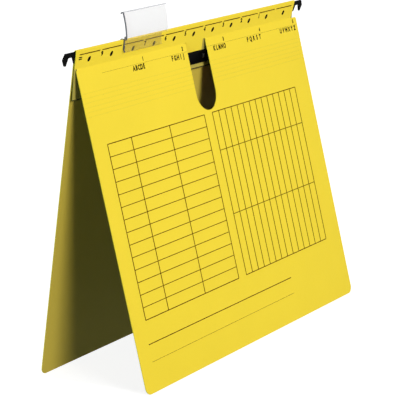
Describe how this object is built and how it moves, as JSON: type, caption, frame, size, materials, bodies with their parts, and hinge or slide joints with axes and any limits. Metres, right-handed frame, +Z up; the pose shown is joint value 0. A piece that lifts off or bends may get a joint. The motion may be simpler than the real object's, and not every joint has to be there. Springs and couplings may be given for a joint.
{
  "type": "hanging file folder",
  "caption": "Yellow card hanging file folder with a hooked steel rail, thumb slot, printed index tables, clear index tab and a prong fastener, standing open like a tent.",
  "frame": {"origin": "on the floor under the middle of the folder's box, where it stands open like a tent", "axes": "+Z up, +X along the hanging rail, -Y toward the printed front cover"},
  "size_m": [0.3478, 0.0964, 0.273],
  "materials": {
    "yellow_card": "satin card",
    "black_steel": "satin black",
    "prong_steel": "bright",
    "clear_plastic": "clear gloss",
    "label_paper": "matt"
  },
  "bodies": {
    "back": {"hanging_rail": "black_steel", "spine_band": "yellow_card", "rear_cover": "yellow_card", "inner_flap": "yellow_card", "prong_strip": "prong_steel", "compressor_bar": "black_steel"},
    "front": {"front_cover": "yellow_card"},
    "tab": {"index_tab": "clear_plastic"},
    "label": {"tab_label": "label_paper"},
    "left_lock": {"left_slider": "black_steel"},
    "right_lock": {"right_slider": "black_steel"}
  },
  "joints": [
    {"name": "front_fold", "type": "hinge", "parent": "back", "child": "front", "pos_m": [0, 0.01064, 0.23795], "axis": [-1, 0, 0], "range_deg": [-12, 120]},
    {"name": "tab_lift", "type": "slide", "parent": "back", "child": "tab", "axis": [0, -0.1478, 0.989], "range_m": [0, 0.03]},
    {"name": "label_slide", "type": "slide", "parent": "tab", "child": "label", "axis": [-1, 0, 0], "range_m": [0, 0.06]},
    {"name": "left_lock_slide", "type": "slide", "parent": "back", "child": "left_lock", "axis": [1, 0, 0], "range_m": [-0.008, 0.0105]},
    {"name": "right_lock_slide", "type": "slide", "parent": "back", "child": "right_lock", "axis": [-1, 0, 0], "range_m": [-0.008, 0.0105]}
  ]
}
